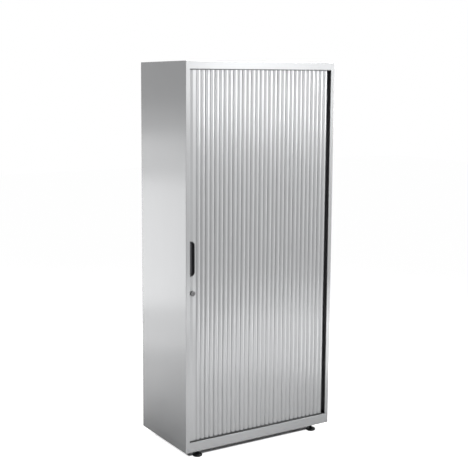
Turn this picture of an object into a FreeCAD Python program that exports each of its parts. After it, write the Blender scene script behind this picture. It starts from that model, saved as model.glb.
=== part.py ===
import FreeCAD, Part
import math
import os

# Side-opening roll front cupboard in sheet steel. Millimetres, +Z up, the front faces -Y.
# The origin is on the floor, in the middle of the overall width and depth.

# ---- Driving dimensions -------------------------------------------------------------------
# Body
width = 914.0
depth = 470.0
body_height = 1981.0
floor_gap = 40.0            # from the floor to the underside of the body
sheet = 1.0                 # steel of the casing
bend = 1.0                  # inside radius of an ordinary fold
hem_bend = 0.25             # inside radius of the tight folds at the edge of the door opening
stile = 23.0                # front frame, left and right of the door
top_rail = 39.5
bottom_rail = 52.0
hem = 2.6                   # depth of the folded edge round the door opening
left_return = 32.0          # the left stile's fold, which the door closes against
back_flange = 20.0
base_return = 20.0
corner_drop = 3.0           # how far the top sheet's front fold reaches down over the stiles
back_inset = 0.5            # the back sheet stops short of the casing's edges
front_overlap = 6.0         # the base's floor starts this far behind the front

# Tambour curtain
rib_pitch = 27.0
ribs_per_slat = 2
rib_depth = 5.5
slat_wall = 1.2
valley_flat = 1.6           # flat between the two ribs of one slat
slat_gap = 1.2              # open groove between two slats
bead_radius = 1.8
socket_clearance = 0.3      # all round the bead
socket_wall = 1.1
socket_mouth = 52.0         # degrees, half the open angle of the socket
hinge_depth = 9.6           # from a rib's crest to the hinge axis
neck = 1.0                  # thickness of the neck that carries the bead
leg_start = 3.0             # where the bead's leg leaves the first rib
leg_wall = 1.1
curtain_setback = 4.5       # from the front of the casing to the ribs' crests
pocket_gap = 19.0           # least gap between the last slat and the right stile
end_clearance = 0.3         # between a slat's end and the bottom of its track

# Leading bar
bar_pitch = 39.0            # from the stile to the first slat
bar_gap = 1.5               # to the left stile
bar_end_gap = 0.6           # to the first slat
bar_crest = 17.5            # from the bar's left edge to the crest of its face
bar_left_drop = 1.6         # the face falls back this far to its left edge
bar_right_drop = 1.8
bar_wall = 1.5
bar_depth = 24.5
bar_lip = 8.0
bar_right_wall = 2.0        # from the first slat's start back to the bar's right wall
bar_end_notch = 6.0         # the deep part of the bar stops this far inside the opening
glide_length = 40.0
glide_clearance = 0.2

# Tracks
track_height = 12.0         # from the floor of a track to the edge of the door opening
track_lip = 4.0             # of its walls past that edge, seen as a dark line
track_floor = 2.0
track_wall = 1.5
track_clearance = 0.5       # each side of the curtain
track_radius = 30.0         # of the curtain's middle, round a corner
back_track_length = 320.0   # along the back, left of the corner
track_joint = 0.3           # between two lengths of track
casing_clearance = 0.2      # between a track and the sheet beside it

# Liners, uprights and shelves
liner_inset = 55.0          # from the outside of the right side to the side liner
liner_front = 31.0          # from the front of the casing to the side liner's edge
back_liner_inset = 54.0
liner_bend = 11.0
liner_flange = 20.0
trim_width = 5.0
trim_depth = 14.0
trim_nose = 2.0             # of the trim in front of the liner's edge
trim_clearance = 0.05
upright_width = 25.0
upright_depth = 12.0
upright_sheet = 1.2
front_upright = 60.0        # from the front of the casing to the front uprights
rear_upright = 45.0         # from the back liner to the rear uprights
slot_pitch = 38.0
slot_height = 14.0
slot_width = 4.0
first_slot = 34.0           # above the cabinet's floor
shelf_sheet = 0.8
shelf_lip = 25.0
shelf_return = 12.0
shelf_front = 36.0          # from the front of the casing to a shelf
shelf_back_gap = 3.0
shelf_end_gap = 2.5         # between a shelf's end and the uprights
shelf_count = 4
slots_per_bay = 10
clip_sheet = 1.5
clip_width = 20.0
clip_height = 20.0
clip_reach = 14.0
clip_rise = 6.0             # of a clip's tab above the middle of its slot
hook_play = 0.3             # each side of the hook in its slot
hook_reach = 3.0
hook_height = 8.0

# Finger pull
pull_width = 29.0
pull_height = 179.0
pull_middle = 1043.5        # height of its middle above the floor
pull_radius = 23.0
pull_depth = 15.0
pull_proud = 0.5
pull_rim = 2.5
pull_shallow = 5.0          # depth of the recess at the leading edge
pull_deep = 13.0            # and at its other side
pull_clearance = 0.2
pull_edge = 0.8             # rounding of the rim

# Lock
lock_drop = 86.0            # of its axis below the finger pull
lock_inset = 15.5           # of its axis from the bar's left edge
lock_proud = 8.5            # in front of the bar's crest
lock_flange = 13.0          # radius
lock_barrel = 9.5           # radius
lock_barrel_length = 13.0
lock_hole_clearance = 0.2
lock_chamfer = 1.2
plug_radius = 7.0
plug_clearance = 0.05
plug_sink = 0.4             # of the plug's face behind the housing's
plug_tail = 1.6             # of the round plug behind the barrel
tail_side = 6.0
tail_clearance = 0.05
cam_sheet = 3.0
cam_hub = 8.0               # radius
cam_reach = 26.0            # from the lock's axis to the cam's tip
cam_width = 9.0
cam_play = 0.4              # round the cam in the slots it swings through
cam_end = 0.8               # of the square tail behind the cam
cut_past = 0.5              # how far a cut runs past the wall that it goes through
keyway_width = 1.8
keyway_height = 8.0
keyway_depth = 5.0
nut_flats = 24.0
nut_height = 4.0
nut_clearance = 0.05
keeper_sheet = 1.6
keeper_margin = 14.0        # above and below the cam's slot
keeper_edge = 7.0           # in front of and behind the cam's slot

# Door buffers
buffer_radius = 5.0
buffer_height = 1.2
low_buffer = 272.0          # heights above the floor
middle_buffer = 1272.0
high_buffer = 1772.0

# Feet
foot_side = 90.0            # from the side of the body to a foot's axis
foot_front = 38.0           # from the front, and from the back
pad_radius = 26.0
pad_sole = 20.0             # radius of the flat sole
pad_top = 21.0              # radius of the pad's top
pad_height = 12.0
pad_band = 2.5              # height of the pad's straight side
pad_swell = 5.5             # height of the widest part's lower edge
stem_radius = 5.0
stem_clearance = 0.05
stem_seat = 4.0             # above the floor
stem_reach = 36.0           # above the underside of the body
stem_play = 0.3             # under the stem's end and its hexagon
hex_flats = 14.0
hex_height = 5.0
boss_radius = 12.0
boss_rise = 8.0             # from the underside of the body to the boss
boss_plate = 40.0
boss_plate_sheet = 2.0

# ---- Places worked out from them ----------------------------------------------------------
left = -width / 2
right = width / 2
lock_reach = lock_proud - curtain_setback          # in front of the casing
front = -(depth - lock_reach) / 2
back = front + depth
back_in = back - sheet                             # the casing's flanges, under the back sheet
bottom = floor_gap
top = floor_gap + body_height
opening_bottom = bottom + bottom_rail
opening_top = top - top_rail
floor_level = opening_bottom - track_height        # upper face of the base's floor
ceiling_level = opening_top + track_height         # lower face of the ceiling panel

crest = front + curtain_setback
slat_pitch = rib_pitch * ribs_per_slat
curtain_left = left + stile + bar_pitch
slat_count = int((right - stile - pocket_gap - curtain_left) / slat_pitch + 0.001)
socket_radius = bead_radius + socket_clearance
socket_outer = socket_radius + socket_wall
curtain_depth = hinge_depth + socket_outer
slat_bottom = floor_level + track_floor + end_clearance
slat_top = ceiling_level - track_floor - end_clearance

bar_left = left + stile + bar_gap
bar_right = curtain_left - bar_end_gap

liner = right - liner_inset                        # inner face of the side liner
liner_back = back - back_liner_inset               # rear face of the back liner
web_left = left + sheet + upright_depth            # faces of the uprights
web_right = liner - upright_depth
upright_front = front + front_upright
upright_rear = liner_back - rear_upright - upright_width

pull_bottom = pull_middle - pull_height / 2
lock_height = pull_bottom - lock_drop
lock_x = bar_left + lock_inset
cam_front = crest + lock_barrel_length + plug_tail + tail_clearance
cam_back = cam_front + cam_sheet
cam_low = lock_height - cam_reach
cam_high = lock_height + cam_width / 2

stem_top = bottom + stem_reach
boss_bottom = bottom + boss_rise

foot_places = [
    (left + foot_side, front + foot_front),
    (right - foot_side, front + foot_front),
    (left + foot_side, back - foot_front),
    (right - foot_side, back - foot_front),
]


# ---- Shaping helpers ----------------------------------------------------------------------
def block(x0, x1, y0, y1, z0, z1):
    """A rectangular block between two corners."""
    return Part.makeBox(x1 - x0, y1 - y0, z1 - z0, FreeCAD.Vector(x0, y0, z0))


def upright_rod(x, y, z0, z1, radius):
    """A cylinder that stands on z0."""
    return Part.makeCylinder(radius, z1 - z0, FreeCAD.Vector(x, y, z0), FreeCAD.Vector(0, 0, 1))


def cross_rod(x, z, y0, y1, radius):
    """A cylinder that runs from front to back."""
    return Part.makeCylinder(radius, y1 - y0, FreeCAD.Vector(x, y0, z), FreeCAD.Vector(0, 1, 0))


def plan(a, b):
    """A point of a section seen from above, that is extruded upwards."""
    return FreeCAD.Vector(a, b, 0)


def side(a, b):
    """A point of a section seen from the side, that is extruded across the width."""
    return FreeCAD.Vector(0, a, b)


def between(face, place, start, end):
    """Extrudes a section between two levels (plan) or two widths (side)."""
    along = FreeCAD.Vector(0, 0, 1) if place is plan else FreeCAD.Vector(1, 0, 0)
    solid = face.extrude(along * (end - start))
    solid.translate(along * start)
    return solid


def polygon(points, place=plan):
    """A flat face with straight sides."""
    corners = [place(a, b) for a, b in points]
    return Part.Face(Part.makePolygon(corners + corners[:1]))


def sheet_section(path, thickness, metal, radii, place):
    """Section of a folded sheet. The path runs along one face of it, and the metal lies to the
    path's left (metal = 1) or right (metal = -1). radii holds the inside radius of each fold."""
    near_edges = []
    far_edges = []
    near_at = None
    far_at = None
    for i, corner in enumerate(path):
        at = FreeCAD.Vector(corner[0], corner[1], 0)
        come = None if i == 0 else (at - FreeCAD.Vector(*path[i - 1], 0)).normalize()
        go = None if i == len(path) - 1 else (FreeCAD.Vector(*path[i + 1], 0) - at).normalize()
        if come is None or go is None:
            run = go or come
            near_point = at
            far_point = at + FreeCAD.Vector(-run.y, run.x, 0) * (metal * thickness)
            fold = None
        else:
            turn = 1 if come.x * go.y - come.y * go.x > 0 else -1
            near_radius = radii[i - 1] + (thickness if turn == metal else 0)
            far_radius = radii[i - 1] + (0 if turn == metal else thickness)
            tangent = near_radius * math.tan(come.getAngle(go) / 2)
            near_point = at - come * tangent
            centre = near_point + FreeCAD.Vector(-come.y, come.x, 0) * (turn * near_radius)
            last = at + go * tangent
            middle = (at - centre).normalize()
            fold = (centre, middle, near_radius, far_radius, last)
            far_point = centre + (near_point - centre).normalize() * far_radius
        if near_at is not None:
            near_edges.append((near_at, None, near_point))
            far_edges.append((far_at, None, far_point))
        near_at = near_point
        far_at = far_point
        if fold is not None:
            centre, middle, near_radius, far_radius, last = fold
            far_last = centre + (last - centre).normalize() * far_radius
            near_edges.append((near_at, centre + middle * near_radius, last))
            far_edges.append((far_at, centre + middle * far_radius, far_last))
            near_at = last
            far_at = far_last
    back_again = [(c, b, a) for a, b, c in reversed(far_edges)]
    start_cap = (back_again[-1][2], None, near_edges[0][0])
    end_cap = (near_edges[-1][2], None, back_again[0][0])
    edges = []
    for a, b, c in near_edges + [end_cap] + back_again + [start_cap]:
        ends = [place(p.x, p.y) for p in (a, c)]
        if b is None:
            edges.append(Part.LineSegment(ends[0], ends[1]).toShape())
        else:
            edges.append(Part.Arc(ends[0], place(b.x, b.y), ends[1]).toShape())
    return Part.Face(Part.Wire(edges))


def folded(path, start, end, place=plan, metal=1, radii=None, thickness=sheet):
    """A folded sheet, extruded between start and end."""
    radii = radii or [bend] * (len(path) - 2)
    return between(sheet_section(path, thickness, metal, radii, place), place, start, end)


def joined(*solids):
    """One solid from several that meet."""
    return solids[0].multiFuse(list(solids[1:])).removeSplitter()


def ring_part(cx, cy, inner, outer, first, last):
    """Section of a ring between two angles, in degrees from +X."""
    def at(radius, angle):
        turn = math.radians(angle)
        return FreeCAD.Vector(cx + radius * math.cos(turn), cy + radius * math.sin(turn), 0)

    middle = (first + last) / 2
    edges = [
        Part.Arc(at(outer, first), at(outer, middle), at(outer, last)).toShape(),
        Part.LineSegment(at(outer, last), at(inner, last)).toShape(),
        Part.Arc(at(inner, last), at(inner, middle), at(inner, first)).toShape(),
        Part.LineSegment(at(inner, first), at(outer, first)).toShape(),
    ]
    return Part.Face(Part.Wire(edges))


def prism(x, y, z0, z1, flats, sides=6):
    """An upright prism with so many sides, given the width over its flats."""
    corner = flats / 2 / math.cos(math.pi / sides)
    turns = [2 * math.pi * k / sides for k in range(sides)]
    points = [(x + corner * math.cos(t), y + corner * math.sin(t)) for t in turns]
    return between(polygon(points), plan, z0, z1)


# ---- Casing -------------------------------------------------------------------------------
def top_sheet():
    """The top, with a short fold at the front and a flange at the back, rounded at its corners."""
    outline = block(left, right, front, back_in, top - back_flange, top)
    uprights = [e for e in outline.Edges if e.BoundBox.ZLength > back_flange / 2]
    return folded(
        [(back_in, top - back_flange), (back_in, top), (front, top), (front, top - corner_drop)],
        left, right, side,
    ).common(outline.makeFillet(bend + sheet, uprights))


def top_panel():
    """Top sheet, carried down at the front as the top rail, with a hem behind it."""
    rail = folded(
        [
            (front, top - corner_drop),
            (front, opening_top),
            (front + hem, opening_top),
            (front + hem, ceiling_level + track_height),
        ],
        left + stile, right - stile, side, radii=[hem_bend, hem_bend],
    )
    return joined(top_sheet(), rail)


def side_panel(sign, return_depth):
    """Side sheet with the stile at its front and a flange at its back. sign is -1 on the left."""
    outer = sign * width / 2
    inner_edge = outer - sign * stile
    wall = [
        (inner_edge, front),
        (outer, front),
        (outer, back_in),
        (outer - sign * back_flange, back_in),
    ]
    with_return = [(inner_edge, front + return_depth)] + wall
    folds = [hem_bend, bend, bend]
    low = folded(wall, bottom, opening_bottom, metal=sign)
    middle = folded(with_return, opening_bottom, opening_top, metal=sign, radii=folds)
    high = folded(wall, opening_top, top - sheet, metal=sign)
    under_front = block(left, right, front, front + sheet, top - corner_drop, top)
    under_back = block(left, right, back_in - sheet, back_in, top - back_flange, top)
    return joined(low, middle, high).cut(under_front).cut(under_back).cut(top_sheet())


def left_side_panel():
    """Left side. Its deep stile return holds the keeper's slot."""
    panel = side_panel(-1, left_return)
    return panel.cut(cam_slot(left + stile - 2 * sheet, left + stile + sheet))


def base_panel():
    """Bottom rail, hem and floor in one sheet, folded under at the front and the back."""
    front_part = folded(
        [
            (front + base_return, bottom),
            (front, bottom),
            (front, opening_bottom),
            (front + hem, opening_bottom),
            (front + hem, floor_level),
            (front + front_overlap, floor_level),
        ],
        left + stile, right - stile, side, metal=-1,
        radii=[bend, hem_bend, hem_bend, hem_bend],
    )
    floor = folded(
        [
            (front + front_overlap, floor_level),
            (back_in, floor_level),
            (back_in, bottom),
            (back_in - base_return, bottom),
        ],
        left + sheet, right - sheet, side, metal=-1,
    )
    wings = back_flange + casing_clearance
    for x0 in (left, right - wings):
        floor = floor.cut(block(x0, x0 + wings, back_in - sheet - bend, back_in, bottom, top))
    return joined(front_part, floor)


def back_panel():
    """Flat sheet over the casing's rear flanges."""
    return block(left + back_inset, right - back_inset, back_in, back,
                 bottom + back_inset, top - back_inset)


def ceiling_panel():
    """Flat sheet under the top, folded up behind the top rail's hem."""
    path = [
        (front + hem, ceiling_level + track_height),
        (front + hem, ceiling_level),
        (back_in - sheet - bend, ceiling_level),
    ]
    panel = folded(path, left + stile, right - stile, side)
    wings = [
        block(x0, x1, front + front_overlap, back_in - sheet - bend,
              ceiling_level, ceiling_level + sheet)
        for x0, x1 in ((left + sheet, left + stile), (right - stile, right - sheet))
    ]
    return joined(panel, *wings)


def cam_slot(x0, x1):
    """The space that the lock's cam swings through, between two widths."""
    return block(x0, x1, cam_front - cam_play, cam_back + cam_play,
                 cam_low + cam_play, cam_high + cam_play)


# ---- Liners, uprights and shelves ---------------------------------------------------------
def side_liner():
    """Sheet between the shelves and the pocket that the open curtain lies in."""
    return block(liner, liner + sheet, front + liner_front, liner_back - liner_bend - sheet,
                 floor_level, ceiling_level)


def back_liner():
    """Sheet in front of the curtain's way along the back, with a rounded corner."""
    path = [
        (left + sheet, liner_back - liner_flange),
        (left + sheet, liner_back),
        (liner, liner_back),
        (liner, liner_back - liner_bend - sheet - liner_flange),
    ]
    return folded(path, floor_level, ceiling_level, metal=-1, radii=[bend, liner_bend])


def pocket_trim():
    """Plastic edging on the side liner's front edge."""
    middle = liner + sheet / 2
    nose = front + liner_front - trim_nose
    body = block(middle - trim_width / 2, middle + trim_width / 2, nose, nose + trim_depth,
                 floor_level, ceiling_level)
    upright_edges = [
        e for e in body.Edges
        if abs(e.Vertexes[0].Z - e.Vertexes[1].Z) > 1 and e.CenterOfMass.y < nose + 1
    ]
    body = body.makeFillet(trim_nose * 0.9, upright_edges)
    slot = block(liner - trim_clearance, liner + sheet + trim_clearance, front + liner_front,
                 nose + trim_depth + 1, floor_level, ceiling_level)
    return body.cut(slot)


def slot_levels():
    """Heights of the middles of the uprights' slots."""
    count = int((ceiling_level - floor_level - 2 * first_slot) / slot_pitch) + 1
    return [floor_level + first_slot + slot_pitch * k for k in range(count)]


def upright(wall, web, y0):
    """Slotted channel, open to the wall that it stands against."""
    y1 = y0 + upright_width
    if web > wall:
        path = [(wall, y0), (web, y0), (web, y1), (wall, y1)]
    else:
        path = [(wall, y1), (web, y1), (web, y0), (wall, y0)]
    channel = folded(path, floor_level, ceiling_level, thickness=upright_sheet)
    inner = web - upright_sheet if web > wall else web + upright_sheet
    x0, x1 = sorted((web, inner))
    middle = (y0 + y1) / 2
    slots = [
        block(x0 - hook_play, x1 + hook_play, middle - slot_width / 2, middle + slot_width / 2,
              z - slot_height / 2, z + slot_height / 2)
        for z in slot_levels()
    ]
    return channel.cut(Part.makeCompound(slots))


def shelf_slots():
    """Heights of the slots that carry the shelves."""
    levels = slot_levels()
    first = slots_per_bay - 1
    return [levels[first + slots_per_bay * k] for k in range(shelf_count)]


def shelf(slot_level):
    """Folded tray, open at its ends, that lies on its four clips."""
    level = slot_level + clip_rise + shelf_sheet
    y0 = front + shelf_front
    y1 = liner_back - sheet - shelf_back_gap
    path = [
        (y0 + shelf_return, level - shelf_lip),
        (y0, level - shelf_lip),
        (y0, level),
        (y1, level),
        (y1, level - shelf_lip),
        (y1 - shelf_return, level - shelf_lip),
    ]
    return folded(path, web_left + shelf_end_gap, web_right - shelf_end_gap, side, metal=-1,
                  thickness=shelf_sheet)


def shelf_clips():
    """A bent clip at each corner of each shelf, hooked into an upright's slot."""
    clips = []
    for level in shelf_slots():
        for web, inward in ((web_left, 1), (web_right, -1)):
            for y0 in (upright_front, upright_rear):
                middle = y0 + upright_width / 2
                tab_top = level + clip_rise
                plate_x = sorted((web, web + inward * clip_sheet))
                tab_x = sorted((web, web + inward * clip_reach))
                hook_x = sorted((web, web - inward * hook_reach))
                y_from = middle - clip_width / 2
                y_to = middle + clip_width / 2
                plate = block(*plate_x, y_from, y_to, tab_top - clip_height, tab_top)
                tab = block(*tab_x, y_from, y_to, tab_top - clip_sheet, tab_top)
                hook = block(*hook_x, middle - slot_width / 2 + hook_play,
                             middle + slot_width / 2 - hook_play,
                             level - hook_height / 2, level + hook_height / 2)
                clips.append(joined(plate, tab, hook))
    return Part.makeCompound(clips)


# ---- Tracks -------------------------------------------------------------------------------
def track_plan():
    """The curtain's way, seen from above: its middle line and the corners' centres."""
    middle_depth = curtain_depth / 2
    front_line = crest + middle_depth
    reach = sheet + casing_clearance + track_wall + track_clearance + middle_depth
    side_line = right - reach
    back_line = back_in - sheet - casing_clearance - track_wall - track_clearance - middle_depth
    return front_line, side_line, back_line


def corner_sag():
    """How far a straight slat cuts inside the curtain's middle line round a corner."""
    return track_radius - math.sqrt(track_radius ** 2 - (slat_pitch / 2) ** 2)


def quarter(cx, cy, inner, outer, first):
    """Section of a quarter ring, from the angle first."""
    return ring_part(cx, cy, inner, outer, first, first + 90)


def track_lengths(half, extra):
    """Sections of the pocket track: front corner, side, rear corner and back. half is half their
    width, and extra is added towards the inside of the corners."""
    front_line, side_line, back_line = track_plan()
    cx = side_line - track_radius
    cy_front = front_line + track_radius
    cy_back = back_line - track_radius
    inner = track_radius - half - extra
    outer = track_radius + half
    gap = track_joint
    return [
        quarter(cx, cy_front, inner, outer, -90),
        polygon([
            (side_line - half, cy_front + gap), (side_line + half, cy_front + gap),
            (side_line + half, cy_back - gap), (side_line - half, cy_back - gap),
        ]),
        quarter(cx, cy_back, inner, outer, 0),
        polygon([
            (cx - gap, back_line - half), (cx - gap, back_line + half),
            (cx - back_track_length, back_line + half), (cx - back_track_length, back_line - half),
        ]),
    ]


def track_solid(outer_face, groove_face, upper):
    """A length of track with its groove open downwards (upper) or upwards."""
    if upper:
        z0, z1 = opening_top - track_lip, ceiling_level
        g0, g1 = z0, z1 - track_floor
    else:
        z0, z1 = floor_level, opening_bottom + track_lip
        g0, g1 = z0 + track_floor, z1
    return between(outer_face, plan, z0, z1).cut(between(groove_face, plan, g0, g1))


def pocket_track(upper):
    """Corner pieces and straight lengths that lead the curtain along the side and the back."""
    half = curtain_depth / 2 + track_clearance
    sag = corner_sag()
    outers = track_lengths(half + track_wall, sag)
    grooves = track_lengths(half, sag)
    hem_space = block(left, right, front, front + hem + hem_bend, bottom, top)
    return Part.makeCompound([
        track_solid(o, g, upper).cut(hem_space) for o, g in zip(outers, grooves)
    ])


def front_track(upper):
    """Straight length of track behind the rail, from the left side to the front corner."""
    front_line, side_line, _ = track_plan()
    half = curtain_depth / 2 + track_clearance
    x0 = left + stile + casing_clearance
    x1 = side_line - track_radius - track_joint

    def strip(low, high):
        return polygon([(x0, low), (x1, low), (x1, high), (x0, high)])

    outer = strip(front + hem + hem_bend, front_line + half + track_wall)
    return track_solid(outer, strip(front_line - half, front_line + half), upper)


# ---- Curtain ------------------------------------------------------------------------------
def socket_section(x):
    """The open ring at the right edge of a slat or of the bar, about the hinge axis at x."""
    return ring_part(x, crest + hinge_depth, socket_radius, socket_outer,
                     socket_mouth, 360 - socket_mouth)


def rib_arc():
    """Radius of a rib's face, and the angle from its crest to its edges on the valley line."""
    half = (rib_pitch - (slat_gap + valley_flat) / 2) / 2
    radius = (half ** 2 + rib_depth ** 2) / (2 * rib_depth)
    return radius, math.asin(half / radius)


def rib_section(x0, x1):
    """One curved rib, a wall of even thickness between two edges on the valley line."""
    radius, reach = rib_arc()
    turn = math.degrees(reach)
    return ring_part((x0 + x1) / 2, crest + radius, radius - slat_wall, radius,
                     270 - turn, 270 + turn)


def slat():
    """The slat nearest the bar: two ribs, a bead at its left edge and a socket at its right."""
    start = curtain_left
    end = start + slat_pitch
    middle = (start + end) / 2
    valley = crest + rib_depth
    axis = crest + hinge_depth
    sections = [
        rib_section(start + slat_gap / 2, middle - valley_flat / 2),
        rib_section(middle + valley_flat / 2, end - slat_gap / 2),
    ]
    reach = rib_arc()[1]
    near = valley_flat / 2
    far = near + slat_wall * math.sin(reach)
    behind = valley + slat_wall * math.cos(reach)
    sections.append(polygon([
        (middle - near, valley), (middle + near, valley),
        (middle + far, behind), (middle - far, behind),
    ]))
    root = end - slat_gap / 2
    sections.append(polygon([
        (root - slat_wall, valley), (root, valley),
        (root + slat_gap / 4, axis - socket_radius), (root - slat_wall, axis - socket_radius),
    ]))
    sections.append(socket_section(end))
    leg = start + leg_start
    sections.append(polygon([
        (leg, crest + slat_wall * 3), (leg + leg_wall, crest + slat_wall * 3),
        (leg + leg_wall, axis + neck / 2), (leg, axis + neck / 2),
    ]))
    sections.append(polygon([
        (start, axis - neck / 2), (leg + leg_wall, axis - neck / 2),
        (leg + leg_wall, axis + neck / 2), (start, axis + neck / 2),
    ]))
    solids = [between(s, plan, slat_bottom, slat_top) for s in sections]
    solids.append(upright_rod(start, axis, slat_bottom, slat_top, bead_radius))
    return joined(*solids)


# ---- Leading bar, finger pull and lock ----------------------------------------------------
def pull_outline(shrink):
    """Face of the finger pull: straight at the leading edge, rounded at the other side."""
    x0 = bar_left + shrink
    x1 = bar_left + pull_width - shrink
    z0 = pull_bottom + shrink
    z1 = pull_bottom + pull_height - shrink
    radius = pull_radius - shrink
    slant = radius * (1 - math.sqrt(0.5))

    def at(x, z):
        return FreeCAD.Vector(x, 0, z)

    edges = [
        Part.LineSegment(at(x0, z1), at(x0, z0)).toShape(),
        Part.LineSegment(at(x0, z0), at(x1 - radius, z0)).toShape(),
        Part.Arc(at(x1 - radius, z0), at(x1 - slant, z0 + slant), at(x1, z0 + radius)).toShape(),
        Part.LineSegment(at(x1, z0 + radius), at(x1, z1 - radius)).toShape(),
        Part.Arc(at(x1, z1 - radius), at(x1 - slant, z1 - slant), at(x1 - radius, z1)).toShape(),
        Part.LineSegment(at(x1 - radius, z1), at(x0, z1)).toShape(),
    ]
    return Part.Face(Part.Wire(edges))


def pull_block(shrink, y0, y1):
    """The finger pull's outline as a block between two depths."""
    solid = pull_outline(shrink).extrude(FreeCAD.Vector(0, y1 - y0, 0))
    solid.translate(FreeCAD.Vector(0, y0, 0))
    return solid


def bar_section():
    """Channel with a face that rises to a crest, lips behind, and a socket for the first slat."""
    apex = bar_left + bar_crest
    wall = bar_wall
    rear = crest + bar_depth
    right_wall = curtain_left - bar_right_wall
    return [
        polygon([
            (bar_left, crest + bar_left_drop), (apex, crest), (bar_right, crest + bar_right_drop),
            (bar_right, crest + bar_right_drop + wall), (apex, crest + wall),
            (bar_left, crest + bar_left_drop + wall),
        ]),
        polygon([
            (bar_left, crest + bar_left_drop), (bar_left + wall, crest + bar_left_drop),
            (bar_left + wall, rear), (bar_left, rear),
        ]),
        polygon([
            (bar_left, rear - wall), (bar_left + bar_lip, rear - wall),
            (bar_left + bar_lip, rear), (bar_left, rear),
        ]),
        polygon([
            (right_wall - wall, crest + wall), (right_wall, crest + wall),
            (right_wall, rear), (right_wall - wall, rear),
        ]),
        polygon([
            (right_wall - bar_lip, rear - wall), (right_wall, rear - wall),
            (right_wall, rear), (right_wall - bar_lip, rear),
        ]),
        socket_section(curtain_left),
    ]


def leading_bar():
    """The bar that draws the curtain, notched at both ends to run in the tracks."""
    bar = joined(*[between(s, plan, slat_bottom, slat_top) for s in bar_section()])
    deep = crest + curtain_depth
    rear = crest + bar_depth
    for z0, z1 in (
        (slat_bottom, opening_bottom + bar_end_notch),
        (opening_top - bar_end_notch, slat_top),
    ):
        bar = bar.cut(block(bar_left, bar_right, deep, rear, z0, z1))
    bar = bar.cut(pull_block(-pull_clearance, crest - pull_proud, crest + pull_depth + pull_clearance))
    bar = bar.cut(cross_rod(lock_x, lock_height, crest - cut_past, crest + bar_wall * 3,
                            lock_barrel + lock_hole_clearance))
    return bar.cut(cam_slot(bar_left - cut_past, bar_left + bar_wall + cut_past))


def bar_glides():
    """A plastic block in each end of the bar, which slides on the bottom of the track."""
    x0 = bar_left + bar_wall + glide_clearance
    x1 = curtain_left - bar_right_wall - bar_wall - glide_clearance
    y0 = crest + bar_right_drop + bar_wall + glide_clearance
    y1 = crest + curtain_depth
    low = slat_bottom - end_clearance + track_clearance / 5
    high = slat_top + end_clearance - track_clearance / 5
    return Part.makeCompound([
        block(x0, x1, y0, y1, low, low + glide_length),
        block(x0, x1, y0, y1, high - glide_length, high),
    ])


def handle_cup():
    """Moulded finger pull, a recess whose floor slopes away from the leading edge."""
    face_y = crest - pull_proud
    body = pull_block(0, face_y, crest + pull_depth)
    front_edges = [
        e for e in body.Edges
        if abs(e.BoundBox.YMin - face_y) < 0.01 and abs(e.BoundBox.YMax - face_y) < 0.01
    ]
    body = body.makeFillet(pull_edge, front_edges)
    recess = pull_block(pull_rim, face_y, face_y + pull_deep)
    x0 = bar_left
    x1 = bar_left + pull_width
    under_floor = [
        (x0, face_y + pull_shallow), (x1, face_y + pull_deep), (x0, face_y + pull_deep),
    ]
    floor = between(polygon(under_floor), plan, pull_bottom, pull_bottom + pull_height)
    return body.cut(recess.cut(floor))


def lock_housing():
    """Barrel with a stout collar that stands in front of the bar."""
    face_y = crest - lock_proud
    collar = cross_rod(lock_x, lock_height, face_y, crest, lock_flange)
    rim = [e for e in collar.Edges if abs(e.CenterOfMass.y - face_y) < 0.01]
    collar = collar.makeChamfer(lock_chamfer, rim)
    barrel = cross_rod(lock_x, lock_height, crest, crest + lock_barrel_length, lock_barrel)
    bore = cross_rod(lock_x, lock_height, face_y, crest + lock_barrel_length,
                     plug_radius + plug_clearance)
    return joined(collar, barrel).cut(bore)


def lock_nut():
    """Hexagon nut that clamps the housing to the bar from behind."""
    y0 = crest + bar_wall + bar_left_drop
    nut = prism(0, 0, 0, nut_height, nut_flats)
    nut = nut.cut(upright_rod(0, 0, 0, nut_height, lock_barrel + nut_clearance))
    nut.rotate(FreeCAD.Vector(0, 0, 0), FreeCAD.Vector(1, 0, 0), -90)
    nut.translate(FreeCAD.Vector(lock_x, y0, lock_height))
    return nut


def lock_plug():
    """The turning plug, with a keyway in its face and a square tail."""
    y0 = crest - lock_proud + plug_sink
    y1 = crest + lock_barrel_length + plug_tail
    body = cross_rod(lock_x, lock_height, y0, y1, plug_radius)
    keyway = block(lock_x - keyway_width / 2, lock_x + keyway_width / 2, y0, y0 + keyway_depth,
                   lock_height - keyway_height / 2, lock_height + keyway_height / 2)
    half = tail_side / 2
    tail = block(lock_x - half, lock_x + half, y1, cam_back + cam_end,
                 lock_height - half, lock_height + half)
    return joined(body.cut(keyway), tail)


def lock_cam():
    """Flat cam that hangs down when the lock is open."""
    hub = cross_rod(lock_x, lock_height, cam_front, cam_back, cam_hub)
    half = cam_width / 2
    arm = block(lock_x - half, lock_x + half, cam_front, cam_back, cam_low + half, lock_height)
    tip = cross_rod(lock_x, cam_low + half, cam_front, cam_back, half)
    hole_half = tail_side / 2 + tail_clearance
    hole = block(lock_x - hole_half, lock_x + hole_half, cam_front, cam_back,
                 lock_height - hole_half, lock_height + hole_half)
    return joined(hub, arm, tip).cut(hole)


def lock_keeper():
    """Plate behind the left stile's return, with the slot that the cam enters."""
    x1 = left + stile - sheet
    x0 = x1 - keeper_sheet
    plate = block(x0, x1, cam_front - keeper_edge, cam_back + keeper_edge,
                  cam_low - keeper_margin, cam_high + keeper_margin)
    corners = [e for e in plate.Edges if e.BoundBox.XLength > keeper_sheet / 2]
    return plate.makeFillet(keeper_edge / 2, corners).cut(cam_slot(x0, x1))


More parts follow.
